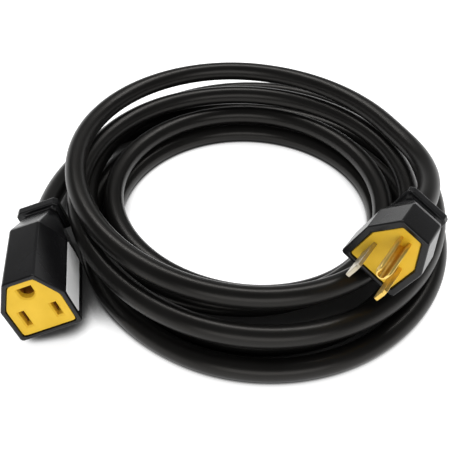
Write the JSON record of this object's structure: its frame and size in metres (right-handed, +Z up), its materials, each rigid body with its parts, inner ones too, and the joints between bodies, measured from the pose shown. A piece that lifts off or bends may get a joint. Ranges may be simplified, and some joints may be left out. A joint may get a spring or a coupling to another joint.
{
  "type": "shore power cord",
  "caption": "Coiled black grounded shore power extension cord with a yellow-faced connector and a yellow-faced bladed plug.",
  "frame": {"origin": "on the floor under the middle of the box that holds the moulded connector and the moulded plug", "axes": "+Z up; +X from the connector on the left to the plug on the right; +Y away from the viewer, towards the back of the coil"},
  "size_m": [0.1952, 0.1909, 0.0588],
  "materials": {
    "moulded_black": "satin flexible moulding",
    "insert_yellow": "satin",
    "contact_brass": "polished",
    "contact_nickel": "nickel-plated, satin",
    "label_white": "satin film, bare",
    "cord_jacket": "smooth vinyl jacket, semi-gloss",
    "core_black": "satin",
    "core_white": "satin",
    "core_green": "satin"
  },
  "bodies": {
    "root": {"connector_housing": "moulded_black", "connector_face": "insert_yellow", "connector_hot_contact": "contact_brass", "connector_neutral_contact": "contact_nickel", "connector_ground_contact": "contact_brass", "connector_hot_conductor": "core_black", "connector_neutral_conductor": "core_white", "connector_ground_conductor": "core_green", "connector_label": "label_white", "cord_connector_lead": "cord_jacket", "cord_coil": "cord_jacket", "cord_plug_lead": "cord_jacket", "plug_housing": "moulded_black", "plug_face": "insert_yellow", "plug_hot_blade": "contact_brass", "plug_neutral_blade": "contact_nickel", "plug_ground_pin": "contact_brass", "plug_hot_conductor": "core_black", "plug_neutral_conductor": "core_white", "plug_ground_conductor": "core_green"}
  },
  "joints": []
}
